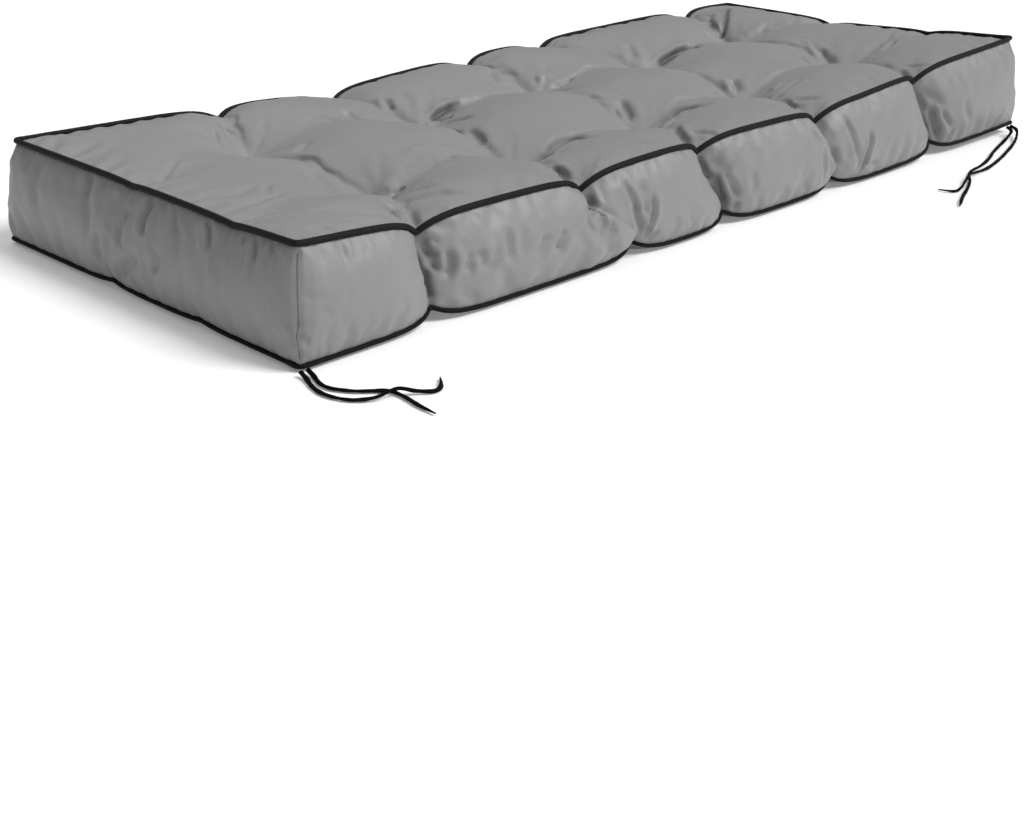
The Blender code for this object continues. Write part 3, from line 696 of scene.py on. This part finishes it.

# %% [markdown]
# ## Folds
# Each cushion settles into folds of its own, which no simulation repeats. The deepest start at a
# tuft or at a notch and run out over a pillow, and short ones hang below the piping. They are
# pressed into the cloth along lines: a groove in the middle, and a lower ridge on both sides,
# because cloth that sinks in one place bulges beside it. The narrow seam at each upright corner is
# pressed in the same way. In a deep fold the two sides of the cloth nearly touch and shade each
# other, which a groove of this width can't do alone, so each point also keeps how much painted
# shade it gets in a crease, and the finish darkens its colour by that.

# %% Table of folds
# Depth and half width in mm (a rise has a depth below 0), height of the ridges beside it as a share
# of its depth, where it fades, and its points in mm
FOLDS = (
    (7, 10, 0, "both", ((-414, 1, 97), (-410, -19, 94), (-419, -51, 90), (-434, -88, 89))),
    (4, 5, 0.3, "end", ((-375, 54, 94), (-348, 63, 99))),
    (7, 8, 0, "both", ((-379, 186, 106), (-379, 170, 100), (-389, 148, 94), (-397, 132, 85))),
    (4, 4, 0.3, "both", ((-405, 164, 105), (-410, 148, 97), (-423, 118, 93))),
    (3.5, 4, 0.5, "both", ((-500, -64, 109), (-517, -88, 110), (-525, -106, 110), (-507, -96, 109))),
    (1.8, 5, 0.3, "end", ((-516, -104, 109), (-543, -115, 112), (-565, -117, 111), (-584, -116, 109))),
    (1.5, 5, 0.3, "both", ((-508, -67, 110), (-535, -79, 112), (-559, -91, 113))),
    (5.5, 5, 0.4, "end", ((-376, -104, 79), (-364, -107, 86))),
    (-2.5, 8, 0, "both", ((-380, -94, 79), (-363, -88, 90), (-343, -81, 99))),
    (5, 5, 0.4, "end", (
        (-438, -175, 102), (-421, -181, 102), (-408, -192, 105), (-395, -201, 107), (-386, -216, 108)
    )),
    (10, 6, 0.2, "both", ((-449, -184, 103), (-455, -201, 100), (-453, -208, 95))),
    (4, 5, 0, "both", ((-436, -197, 96), (-446, -213, 92), (-451, -223, 88))),
    (-3, 4, 0, "both", ((-329, -64, 105), (-307, -67, 108), (-287, -76, 107), (-278, -91, 103))),
    (2.5, 4, 0, "both", ((-334, -75, 102), (-315, -84, 106), (-299, -97, 105), (-303, -124, 107))),
    (2.5, 3.5, 0.4, "both", ((-253, -71, 101), (-255, -85, 98))),
    (6, 8, 0, "both", ((-171, 8, 94), (-182, -20, 91), (-190, -43, 85))),
    (3, 5, 0.4, "end", ((-151, 69, 81), (-144, 50, 88), (-141, 26, 97))),
    (9, 6, 0, "both", ((-149, 95, 81), (-132, 97, 88), (-113, 99, 92), (-94, 98, 94))),
    (5, 3.5, 0.3, "end", ((-143, 88, 78), (-132, 85, 81), (-130, 72, 88))),
    (7, 7, 0.2, "both", ((-263, 121, 106), (-250, 112, 103), (-266, 75, 105))),
    (5, 5, 0.3, "end", ((-171, 136, 91), (-163, 157, 100))),
    (2, 4, 0.4, "both", ((-311, 125, 102), (-298, 124, 105), (-286, 114, 104), (-294, 76, 106))),
    (7, 7, 0.2, "end", ((1, 134, 101), (22, 171, 107))),
    (3, 4, 0.4, "both", ((-35, 154, 113), (-31, 130, 106), (-31, 109, 99), (-47, 81, 99))),
    (5, 4, 0.4, "end", ((73, 99, 87), (87, 96, 91), (99, 95, 95))),
    (-3, 7, 0, "both", ((59, 122, 94), (81, 119, 99))),
    (2.5, 5, 0.2, "both", ((27, 8, 99), (26, -22, 97))),
    (9, 6, 0, "both", (
        (-199, -134, 86), (-162, -109, 85), (-143, -107, 90), (-123, -110, 94), (-114, -124, 98),
        (-103, -137, 100)
    )),
    (6, 5, 0.2, "both", ((-247, -191, 99), (-225, -184, 93), (-230, -199, 90), (-263, -239, 94))),
    (6, 7, 0.2, "end", ((22, -69, 83), (31, -54, 90), (42, -33, 98))),
    (4, 3.5, 0.4, "end", ((18, -57, 85), (25, -39, 92))),
    (3, 4, 0.4, "end", ((-26, -74, 90), (-23, -51, 98))),
    (9, 6, 0, "both", (
        (17, -119, 87), (54, -103, 89), (73, -107, 95), (83, -121, 100), (98, -133, 103)
    )),
    (5, 4, 0.4, "both", ((-12, -151, 93), (6, -145, 97), (29, -137, 97))),
    (4.5, 4.5, 0.3, "both", ((-11, -164, 97), (-32, -188, 97), (-40, -203, 94), (-69, -233, 97))),
    (2.5, 4, 0.5, "both", ((-26, -197, 100), (-21, -214, 101), (-20, -232, 100))),
    (5, 6, 0.3, "end", ((226, -71, 86), (240, -50, 97))),
    (3, 4.5, 0.4, "end", ((187, -73, 86), (195, -52, 91))),
    (-3, 5, 0, "both", ((220, -63, 87), (231, -39, 97))),
    (-3, 6, 0, "both", ((213, -132, 97), (250, -121, 100))),
    (6, 4, 0.4, "end", ((196, -151, 96), (208, -153, 102), (231, -150, 107), (251, -150, 111))),
    (3, 3.5, 0.4, "end", ((186, -184, 99), (193, -195, 102), (203, -212, 104))),
    (3, 4.5, 0.3, "end", ((160, -174, 101), (162, -187, 98), (165, -197, 94))),
    (3.5, 4, 0.3, "both", ((184, -174, 96), (174, -195, 93))),
    (9, 6, 0, "both", ((258, 93, 85), (281, 97, 93), (306, 99, 99), (332, 96, 101), (334, 72, 106))),
    (4, 6, 0.3, "end", ((242, 117, 97), (260, 144, 111))),
    (7, 4.5, 0.1, "none", ((466, 144, 95), (482, 153, 110), (526, 184, 120))),
    (3, 5, 0.3, "end", ((470, 162, 101), (504, 201, 113))),
    (4.5, 4, 0.3, "end", ((402, -52, 95), (416, -27, 98))),
    (-2.5, 4, 0, "both", ((468, -1, 108), (452, -21, 99), (443, -37, 92))),
    (6, 6, 0.3, "end", ((445, -59, 88), (450, -48, 94), (460, -30, 102))),
    (1.2, 3, 0.4, "both", ((-443, 166, 112), (-433, 161, 108), (-426, 153, 102))),
    (1.2, 3, 0.4, "both", ((-457, 149, 112), (-451, 136, 109), (-452, 121, 105))),
    (1.8, 4, 0.4, "both", ((-579, 1, 111), (-547, 32, 111), (-515, 60, 112))),
    (3.5, 5, 0.4, "end", ((472, -109, 104), (486, -117, 111), (522, -109, 117))),
    (5, 4.5, 0.3, "both", ((396, -195, 107), (383, -213, 103), (352, -241, 102))),
    (2.2, 3, 0.4, "end", ((405, -196, 111), (408, -215, 113), (411, -234, 114))),
    (5, 4.5, 0.4, "both", (
        (-451, -226, 82), (-450, -230, 74), (-446, -234, 64), (-442, -238, 54), (-438, -242, 45)
    )),
    (5, 4.5, 0.3, "both", ((-449, -231, 55), (-449, -230, 40), (-447, -232, 30), (-446, -236, 22))),
    (5, 4.5, 0.6, "both", ((-431, -243, 70), (-429, -245, 60), (-430, -245, 51), (-436, -243, 40))),
    (4, 4.5, 0.4, "both", ((-406, -251, 63), (-409, -251, 54), (-413, -251, 43))),
    (3.5, 4.5, 0.4, "both", ((-399, -252, 64), (-396, -254, 53), (-392, -255, 42))),
    (3, 4.5, 0.4, "both", ((-371, -256, 62), (-383, -256, 52), (-391, -255, 41))),
    (4.5, 4.5, 0.4, "both", ((-362, -252, 77), (-363, -256, 61), (-361, -258, 42))),
    (2.5, 6, 0.2, "both", ((-339, -254, 74), (-345, -256, 62), (-350, -258, 47))),
    (4, 5, 0.4, "both", ((-311, -257, 62), (-318, -258, 52), (-327, -259, 42))),
    (2.5, 4, 0.4, "both", ((-303, -258, 55), (-299, -259, 39))),
    (4, 4.5, 0.5, "both", ((-286, -257, 62), (-293, -259, 51), (-299, -259, 37))),
    (1.5, 2.5, 0.4, "both", ((-394, -241, 95), (-388, -247, 84))),
    (3, 3.5, 0.6, "both", ((-449, -231, 71), (-443, -236, 67), (-436, -241, 64))),
    (2.5, 3.5, 0.5, "both", ((-449, -229, 79), (-443, -235, 79), (-437, -239, 73))),
    (6, 4.5, 0.5, "both", ((-247, -241, 84), (-234, -239, 74), (-240, -250, 68), (-246, -257, 58))),
    (3.5, 3.5, 0.4, "end", ((-239, -242, 77), (-253, -257, 64), (-247, -258, 44))),
    (4, 4, 0.4, "both", ((-227, -249, 65), (-231, -256, 52), (-237, -259, 37))),
    (4, 4, 0.4, "both", ((-215, -258, 54), (-223, -260, 44), (-231, -261, 34))),
    (4.5, 4, 0.4, "both", (
        (-190, -242, 96), (-190, -252, 82), (-183, -256, 65), (-178, -257, 47), (-168, -253, 29)
    )),
    (3, 6, 0.2, "both", ((-168, -249, 82), (-167, -257, 66), (-168, -258, 44))),
    (4.5, 3.4, 0.9, "both", (
        (-154, -255, 72), (-155, -258, 59), (-156, -258, 46), (-161, -258, 35), (-163, -251, 22)
    )),
    (2.5, 3.5, 0.4, "both", ((-153, -247, 13), (-150, -253, 21), (-142, -256, 25))),
    (6, 4.5, 0.3, "both", ((-48, -225, 84), (-44, -229, 73), (-34, -230, 59), (-34, -239, 46))),
    (7, 5.5, 0.5, "both", ((-31, -236, 64), (-25, -237, 51), (-15, -236, 34), (-8, -237, 16))),
    (3.5, 4, 0.5, "both", ((-20, -243, 63), (-8, -245, 47), (2, -248, 30))),
    (4, 8, 0.2, "both", ((-43, -231, 78), (-28, -240, 72), (-13, -245, 58))),
    (4, 4, 0.4, "both", ((3, -248, 26), (0, -244, 14))),
    (2.2, 5, 0.3, "both", ((16, -254, 59), (21, -256, 43), (20, -255, 30))),
    (3.5, 3.5, 0.3, "both", ((133, -248, 86), (141, -252, 75), (158, -253, 63))),
    (3.5, 4, 0.4, "both", ((153, -253, 64), (153, -257, 45), (160, -253, 18))),
    (4, 4, 0.4, "both", ((200, -244, 92), (206, -253, 74), (214, -258, 54), (225, -256, 28))),
    (3, 4, 0.4, "both", ((176, -249, 58), (183, -251, 44), (195, -252, 28))),
    (4.5, 3.4, 0.9, "both", (
        (245, -256, 69), (245, -259, 55), (239, -259, 41), (236, -258, 28), (236, -251, 13)
    )),
    (2.5, 3.5, 0.4, "both", ((238, -255, 18), (248, -258, 23), (270, -254, 22))),
    (6, 5, 0.6, "both", (
        (403, -239, 69), (410, -241, 57), (417, -243, 42), (427, -245, 24), (431, -245, 16)
    )),
    (3.5, 4, 0.5, "both", ((420, -248, 60), (430, -251, 48), (440, -253, 36))),
    (4, 7, 0.2, "both", ((387, -231, 85), (404, -242, 79), (423, -249, 63))),
    (4, 4, 0.4, "both", ((448, -255, 32), (441, -251, 20), (436, -248, 17))),
    (4, 4, 0.3, "both", ((382, -228, 89), (392, -231, 74), (405, -236, 57))),
    (2.8, 5, 0.3, "both", ((468, -257, 70), (467, -258, 55), (480, -257, 37))),
    (1.5, 5, 0.2, "both", ((-605, -250, 66), (-589, -255, 65), (-574, -257, 58))),
    (1.5, 5, 0.2, "both", ((-607, -252, 52), (-593, -257, 54), (-577, -258, 48))),
    (2.2, 4, 0.3, "both", ((-612, -250, 36), (-602, -256, 25))),
    (1.3, 3, 0.3, "end", ((-551, -241, 103), (-557, -249, 90))),
    (1.5, 3, 0.3, "end", ((-538, -241, 102), (-546, -252, 85))),
    (1.3, 3, 0.3, "end", ((-525, -241, 101), (-531, -249, 88))),
    (5.2, 4.5, 0.5, "end", ((-601, -27, 105), (-606, -23, 95), (-612, -21, 84), (-616, -24, 72))),
    (4, 5.5, 0.4, "both", ((-606, 9, 92), (-613, 14, 81), (-617, 17, 69), (-619, 14, 54))),
    (3.4, 6, 0.3, "both", ((-619, 51, 62), (-619, 57, 44), (-617, 58, 27))),
    (5.8, 7.5, 0.3, "both", ((-619, -6, 57), (-619, -8, 48), (-619, 6, 36), (-615, 31, 20))),
    (3.4, 5, 0.5, "both", ((-617, -49, 65), (-618, -48, 53), (-619, -38, 41))),
    (4.6, 4.5, 0.6, "end", ((-600, -113, 103), (-607, -120, 94), (-613, -126, 82))),
    (2.5, 4, 0.4, "end", ((-599, -60, 108), (-607, -66, 95), (-611, -74, 83))),
    (3.2, 3.5, 0.4, "end", ((-600, -184, 105), (-606, -188, 96), (-611, -191, 86))),
    (2.3, 3, 0.4, "end", ((-600, -170, 104), (-606, -168, 95))),
    (2.3, 3.5, 0.4, "end", ((-599, -209, 106), (-606, -213, 96))),
    (2.1, 4, 0.4, "end", ((-600, 81, 105), (-606, 84, 95), (-610, 84, 85))),
    (2.1, 3.5, 0.4, "end", ((-599, 37, 105), (-603, 28, 97))),
    (2.3, 6, 0.2, "both", ((-617, 3, 27), (-614, -1, 17))),
)


# %% Press the folds in
RIDGE_AT, RIDGE_RISE = 1.9, 0.6  # where the ridges lie, in half widths, and how much they rise
RIDGED_SHADE_SHARE = 0.4  # a fold between two ridges stands open, so it gets less painted shade
CREASE_SHADE_REACH = 1.5  # how far the painted shade spreads, in half widths
CORNER_SEAM = (1.4, 2.4, 0.5, "none")  # as the first four values of a fold


def pressed(points, normals, folds):
    """How far each point moves in when the folds are pressed, and how much shade is painted on it in a
    crease.
    """
    moves, crease_shade = np.zeros(len(points)), np.zeros(len(points))
    for depth, wide, ridge, fade, places in folds:
        line, along = spread_out(smooth_line(np.array(places) / 1000), 0.002)
        reach = 0.0035 * wide + 0.006
        near = ((points > line.min(0) - reach) & (points < line.max(0) + reach)).all(1).nonzero()[0]
        if not len(near):
            continue
        gaps = np.linalg.norm(points[near][:, None] - line[None], axis=2)
        under = near[gaps.argmin(0)]  # the cloth's points nearest to the line, which is laid on them
        line += normals[under] * ((points[under] - line) * normals[under]).sum(1)[:, None]
        gaps = np.linalg.norm(points[near][:, None] - line[None], axis=2)
        share = along[gaps.argmin(1)] / along[-1]
        gap = gaps.min(1) * 1000 / wide
        start, end = np.clip(5 * share, 0, 1), np.clip(4 * (1 - share), 0, 1)
        taper = {"none": 1, "end": np.clip(start + 0.4, 0, 1) * end, "both": start * end}[fade]
        middle = gap < 0.7
        faces = normals[near[middle]].sum(0) if middle.any() else normals[near].sum(0)
        facing = np.clip(2 * normals[near] @ (faces / np.linalg.norm(faces)), 0, 1)
        profile = -np.exp(-(gap**2)) + RIDGE_RISE * ridge * np.exp(-((gap - RIDGE_AT) ** 2))
        moves[near] += depth / 1000 * profile * taper * facing
        # The darkness worked out here is painted shade, kept for the cloth's base colour
        closeness = np.clip(2 * depth / wide - 2, 0, 1) * (RIDGED_SHADE_SHARE if ridge else 1)
        painted_shade = closeness * np.exp(-((gap / CREASE_SHADE_REACH) ** 2)) * taper**2 * facing
        crease_shade[near] = np.maximum(crease_shade[near], painted_shade)
    return moves, crease_shade


flat = np.empty(3 * len(cover_data.vertices))
cover_data.vertex_normals.foreach_get("vector", flat)
normals = flat.reshape(-1, 3).copy()
weights = np.empty(len(cover_data.vertices))
cover_data.attributes["free"].data.foreach_get("value", weights)
cover_data.attributes.remove(cover_data.attributes["free"])
seam_folds = tuple((*CORNER_SEAM, seam[1:-1:3] * 1000) for seam in corner_seams)
moves, crease_shade = pressed(points_of(cover_data), normals, FOLDS + seam_folds)
put_points(cover_data, points_of(cover_data) + normals * (moves * weights)[:, None])
# Each point's painted shade in the creases, which the cloth finish reads
crease_shade_layer = cover_data.attributes.new("crease_shade", "FLOAT", "POINT")
crease_shade_layer.data.foreach_set("value", crease_shade)
print("folds:", len(FOLDS), " deepest:", round(1000 * float(moves.min()), 1), "mm")

# %% Dress the cover
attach(cushion, "root")
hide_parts("cushion_body")
print("cover dressed:", len(cover_data.polygons), "faces")

# %% [markdown]
# ## Piping
# A piping is a cord wrapped in a strip of cloth, sewn into the seam. It lies just outside the seam,
# half sunk between the panel and the boxing. The needle draws its cloth in at every few
# millimetres, so its thickness wavers slightly. The two ends of the lower one overlap beside the
# left front corner, where the piping is thicker.

# %% Piping round both seams
PIPING_STEP, PIPING_SIDES = 0.003, 14
JOIN_AT, JOIN_LENGTH = 0.009, 0.006  # where the two ends of a piping overlap, and how far
SUNK = 0.5  # how far the cord's middle lies outside the seam, in its radii


def rim_walk():
    walk = [(i, 0, "front") for i in range(CELLS_X)]
    walk += [(CELLS_X, j, "right") for j in range(CELLS_Y)]
    walk += [(i, CELLS_Y, "back") for i in range(CELLS_X, 0, -1)]
    walk += [(0, j, "left") for j in range(CELLS_Y, 0, -1)]
    return walk


def piping(name, node, net, level, look, radius, overlap):
    walk = rim_walk()
    seam = [rim_point(net, level, i, j) for i, j, _ in walk]
    away = []
    for number, (_, _, side) in enumerate(walk):
        run = (seam[(number + 1) % len(seam)] - seam[number]).normalized()
        wanted = OUT[side] * math.cos(look) + Vector((0, 0, math.sin(look)))
        away.append((wanted - run * wanted.dot(run)).normalized())
    centre, outward = [], []
    for number, point in enumerate(seam):
        before, after = away[number - 1], away[number]
        step = (before + after) / (1 + before.dot(after))
        centre.append(point + SUNK * radius * step)
        outward.append((before + after).normalized())
    line, along = spread_out(centre, PIPING_STEP, closed=True)
    for _ in range(3):  # the cord is stiff enough to round its corners
        line[:-1] = (np.roll(line[:-1], 1, axis=0) + 2 * line[:-1] + np.roll(line[:-1], -1, axis=0)) / 4
    line[-1] = line[0]
    rows = np.array(outward + outward[:1])
    raw = np.array(centre + centre[:1])
    raw_along = np.concatenate([[0], np.cumsum(np.linalg.norm(np.diff(raw, axis=0), axis=1))])
    up = np.stack([np.interp(along, raw_along, rows[:, axis]) for axis in range(3)], axis=1)

    def section(angle, place):
        wave = 1 + 0.022 * math.sin(place / 0.0013) + 0.02 * math.sin(place / 0.0071) * math.cos(angle)
        join = 1 + overlap * math.exp(-(((along[-1] - JOIN_AT - place) / JOIN_LENGTH) ** 2))
        return radius * wave * join, radius * wave * join

    made = wrapped_tube(name, line, along, up, section, PIPING_SIDES, closed=True)
    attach(made, "root")
    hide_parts(node)
    return made


top_look, foot_look = math.radians(38), math.radians(-42)
top_piping = piping("piping_top_cloth", "piping_top", top_net, "top", top_look, 0.0031, 0.0)
foot_piping = piping("piping_bottom_cloth", "piping_bottom", foot_net, "foot", foot_look, 0.0023, 0.3)

# %% [markdown]
# ## Stitches at the corners
# The boxing is four strips, sewn together at the corners, and the thread shows there as a row of
# short stitches. A stitch is repeated many times, so each is only a tiny rounded bead of 20 faces,
# stretched along the seam.

# %% Stitches
def averaged_line(points, rounds=4):
    for _ in range(rounds):
        points[1:-1] = (points[:-2] + 2 * points[1:-1] + points[2:]) / 4
    return points


STITCH, STITCH_STEP, THREAD = 0.0019, 0.0027, 0.0005
STITCH_LIFT = 0.0003  # how far a stitch stands out of the cloth
SEAM_STRIP = 0.012  # the cloth within this distance of a corner is searched for its nearest points
stitches = bmesh.new()
cloth_points = points_of(cover_data)
for seam in corner_seams:
    line, along = spread_out(seam, STITCH_STEP)
    away = np.linalg.norm(cloth_points[:, None] - line[None, ::4], axis=2).min(1)
    strip = cloth_points[away < SEAM_STRIP]
    nearest = np.linalg.norm(strip[:, None] - line[None], axis=2).argmin(0)
    line = averaged_line(strip[nearest])
    for before, point, after in zip(line[2:-4], line[3:-3], line[4:-2]):
        run = Vector(after - before).normalized()
        out = Vector((point[0], point[1], 0)).normalized()
        across = run.cross(out).normalized()
        frame_of_stitch = Matrix((across, run.cross(across), run)).transposed().to_4x4()
        size = Matrix.Diagonal((THREAD, THREAD, STITCH / 2, 1))
        place = Matrix.Translation(Vector(point) + STITCH_LIFT * out) @ frame_of_stitch @ size
        bmesh.ops.create_icosphere(stitches, subdivisions=1, radius=1.0, matrix=place)
bmesh.ops.recalc_face_normals(stitches, faces=stitches.faces)
corner_stitches = made_piece("corner_stitches", stitches)
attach(corner_stitches, "root")
print("stitches:", len(corner_stitches.data.polygons) // 20)

# %% [markdown]
# ## Shader maths
# A procedural material is a chain of small nodes. Adding each by hand hides what it works out, so
# one small class wraps a socket and gives it Python's own operators: `1 - mask * 2` then adds the
# Math nodes for it. Any other node comes from one method of the finish that owns the tree.


# %% Sockets that can be added and multiplied
class Wire:
    def __init__(self, finish, socket):
        self.finish = finish
        self.socket = socket

    def maths(self, operation, first, second=None):
        node = self.finish.node("ShaderNodeMath", {"operation": operation}, {})
        for slot, value in zip(node.inputs, (first, second)):
            if isinstance(value, Wire):
                self.finish.tree.links.new(value.socket, slot)
            elif value is not None:
                slot.default_value = value
        return Wire(self.finish, node.outputs[0])

    def __add__(self, other):
        return self.maths("ADD", self, other)

    def __sub__(self, other):
        return self.maths("SUBTRACT", self, other)

    def __mul__(self, other):
        return self.maths("MULTIPLY", self, other)

    def __rsub__(self, other):
        return self.maths("SUBTRACT", other, self)

    __radd__ = __add__
    __rmul__ = __mul__

    def sine(self):
        return self.maths("SINE", self)

    def above(self, low, high):
        """0 below low, 1 above high, and a straight slope between."""
        node = self.finish.node(
            "ShaderNodeMapRange", {"clamp": True}, {"Value": self, "From Min": low, "From Max": high}
        )
        return Wire(self.finish, node.outputs["Result"])


# %% A finish and its nodes
class Finish:
    """A material with its Principled shader, and the method that adds any other node to it."""

    def __init__(self, name, colour, roughness, **sockets):
        self.material = bpy.data.materials.new(name)
        self.material.use_nodes = True
        self.tree = self.material.node_tree
        self.shader = self.tree.nodes["Principled BSDF"]
        self.shader.inputs["Base Color"].default_value = (*colour, 1.0)
        self.shader.inputs["Roughness"].default_value = roughness
        for socket, value in sockets.items():
            self.shader.inputs[socket.replace("_", " ")].default_value = value

    def node(self, kind, settings, values):
        made = self.tree.nodes.new(kind)
        for setting, value in settings.items():
            setattr(made, setting, value)
        for socket, value in values.items():
            if isinstance(value, Wire):
                self.tree.links.new(value.socket, made.inputs[socket])
            else:
                made.inputs[socket].default_value = value
        return made

    def wire(self, node, output):
        return Wire(self, node.outputs[output])

    def feed(self, socket, wire):
        self.tree.links.new(wire.socket, self.shader.inputs[socket])

    def dress(self, *pieces):
        for piece in pieces:
            piece.data.materials.clear()
            piece.data.materials.append(self.material)


# %% [markdown]
# ## Cloth finish
# The cover is a smooth, tightly woven polyester. From a step away only its faint sheen and slight
# differences of tone show; close up there are threads in both directions. The threads are two sine
# waves over the UV map, which lie in metres of cloth, so they turn and bend with it.


# %% Weave, noise, tint and bump
THREADS_PER_METRE = 1400


def weave(finish):
    """Threads over and under each other, as a height from 0 to 1."""
    map_node = finish.node("ShaderNodeUVMap", {"uv_map": "threads"}, {})
    split = finish.node("ShaderNodeSeparateXYZ", {}, {"Vector": finish.wire(map_node, "UV")})
    turns = 2 * math.pi * THREADS_PER_METRE
    across = (finish.wire(split, "X") * turns).sine()
    down = (finish.wire(split, "Y") * turns).sine()
    return (across * down) * 0.5 + 0.5


def object_noise(finish, scale, detail=2.0):
    place = finish.node("ShaderNodeTexCoord", {}, {})
    values = {"Vector": finish.wire(place, "Object"), "Scale": scale, "Detail": detail}
    return finish.wire(finish.node("ShaderNodeTexNoise", {}, values), "Fac")


def tinted(finish, mask, low, high):
    """A mix of two colours: low where the mask is 0 and high where it is 1."""
    low, high = (end if isinstance(end, Wire) else (*end, 1.0) for end in (low, high))
    node = finish.node("ShaderNodeMix", {"data_type": "RGBA"}, {"Factor": mask, 6: low, 7: high})
    return finish.wire(node, 2)


def raise_threads(finish, height, strength, distance):
    values = {"Strength": strength, "Distance": distance, "Height": height}
    finish.feed("Normal", finish.wire(finish.node("ShaderNodeBump", {}, values), "Normal"))


print("threads in a metre:", THREADS_PER_METRE)

# %% Grey cloth and seam thread
# Colour and strength of the painted shade in the creases
CREASE_SHADE_COLOUR, CREASE_SHADE_STRENGTH = (0.02, 0.02, 0.02), 0.8
cloth = Finish("grey cloth", (0.25, 0.25, 0.25), 0.5, Sheen_Weight=0.08, Sheen_Roughness=0.4)
threads = weave(cloth)
patches = object_noise(cloth, 9.0, 3.0)
slubs = object_noise(cloth, 420.0)
tone = patches * 0.5 + slubs * 0.3 + threads * 0.2
plain = tinted(cloth, tone, (0.216, 0.216, 0.218), (0.262, 0.262, 0.262))
# The creases are darkened in the base colour: painted shade where a fold's two sides would shade each
# other
named = {"attribute_type": "GEOMETRY", "attribute_name": "crease_shade"}
crease_shade_mask = cloth.wire(cloth.node("ShaderNodeAttribute", named, {}), "Fac")
cloth.feed("Base Color", tinted(cloth, crease_shade_mask * CREASE_SHADE_STRENGTH, plain, CREASE_SHADE_COLOUR))
cloth.feed("Roughness", patches * 0.14 + 0.42)
raise_threads(cloth, threads + slubs * 0.5, 0.25, 0.0002)
cloth.dress(cushion)

thread = Finish("seam thread", (0.04, 0.04, 0.04), 0.6)
twist = object_noise(thread, 900.0)
thread.feed("Base Color", tinted(thread, twist, (0.02, 0.02, 0.02), (0.07, 0.07, 0.07)))
thread.dress(corner_stitches)
print("finishes:", cloth.material.name, "and", thread.material.name)

# %% [markdown]
# ## Piping and tie finishes
# Both are a matt black cloth. The piping is a dark charcoal with fibres that show lighter on the
# top, and its colour is painted plain black towards the floor: painted shade, for the lower piping
# lies in shade. The ties are blacker still, and hardly shine.

# %% Charcoal piping and black ties
tape = Finish("charcoal piping", (0.01, 0.01, 0.01), 0.62, Specular_IOR_Level=0.15)
threads = weave(tape)
fuzz = object_noise(tape, 260.0)
place = tape.node("ShaderNodeTexCoord", {}, {})
height = tape.node("ShaderNodeSeparateXYZ", {}, {"Vector": tape.wire(place, "Object")})
# Painted shade: below 1 cm the piping's fibres are painted out to plain black, rising to full by 9 cm
out_of_painted_shade = tape.wire(height, "Z").above(0.01, 0.09)
fibres_above_painted_shade = (fuzz * 0.6 + threads * 0.4) * out_of_painted_shade
tape.feed("Base Color", tinted(tape, fibres_above_painted_shade, (0.0012, 0.0012, 0.0012), (0.014, 0.014, 0.0145)))
raise_threads(tape, threads + fuzz, 0.4, 0.0003)
tape.dress(top_piping, foot_piping)

ribbon = Finish("black tie cloth", (0.002, 0.002, 0.002), 0.75, Specular_IOR_Level=0.08)
fuzz = object_noise(ribbon, 300.0)
ribbon.feed("Base Color", tinted(ribbon, fuzz, (0.001, 0.001, 0.001), (0.003, 0.003, 0.003)))
raise_threads(ribbon, weave(ribbon) + fuzz, 0.5, 0.0003)
ribbon.dress(*ties)
print("finishes:", tape.material.name, "and", ribbon.material.name)

# %% [markdown]
# ## Floor and light
# The cushion lies in a white studio. The main light is a large soft box high on the right, so the
# top and the long front are bright, and the left end falls into a soft shade. A weaker and wider
# light stands behind it and lays a faint shadow along the front. The floor paper glows a little, as
# white paper lit from all round does.

# %% Floor
floor_mesh = bmesh.new()
bmesh.ops.create_grid(floor_mesh, x_segments=1, y_segments=1, size=8)
floor = made_piece("floor", floor_mesh)
GLOW = {"Emission_Color": (1, 1, 1, 1), "Emission_Strength": 0.15}
paper = Finish("floor paper", (0.93, 0.93, 0.93), 0.9, **GLOW)
paper.dress(floor)
print("floor:", len(floor.data.polygons), "face")


# %% Lights
def soft_light(name, towards, power, softness):
    """A light from far away: its shadows are as soft as its angle, in radians, is wide."""
    light = bpy.data.lights.new(name, "SUN")
    light.energy = power
    light.angle = softness
    lamp = bpy.data.objects.new(name, light)
    bpy.context.scene.collection.objects.link(lamp)
    lamp.location = towards
    lamp.rotation_euler = Vector(towards).to_track_quat("Z", "Y").to_euler()
    return lamp


soft_light("key_light", (1.2, -1.7, 2.3), 2.95, 0.55)
soft_light("top_light", (0.2, 1.2, 2.0), 0.75, 1.1)
world = bpy.data.worlds.new("studio")
world.use_nodes = True
world.node_tree.nodes["Background"].inputs["Color"].default_value = (1, 1, 1, 1)
world.node_tree.nodes["Background"].inputs["Strength"].default_value = 0.2
bpy.context.scene.world = world
bpy.context.scene.view_settings.view_transform = "Standard"
print("lights:", ", ".join(light.name for light in bpy.data.lights))
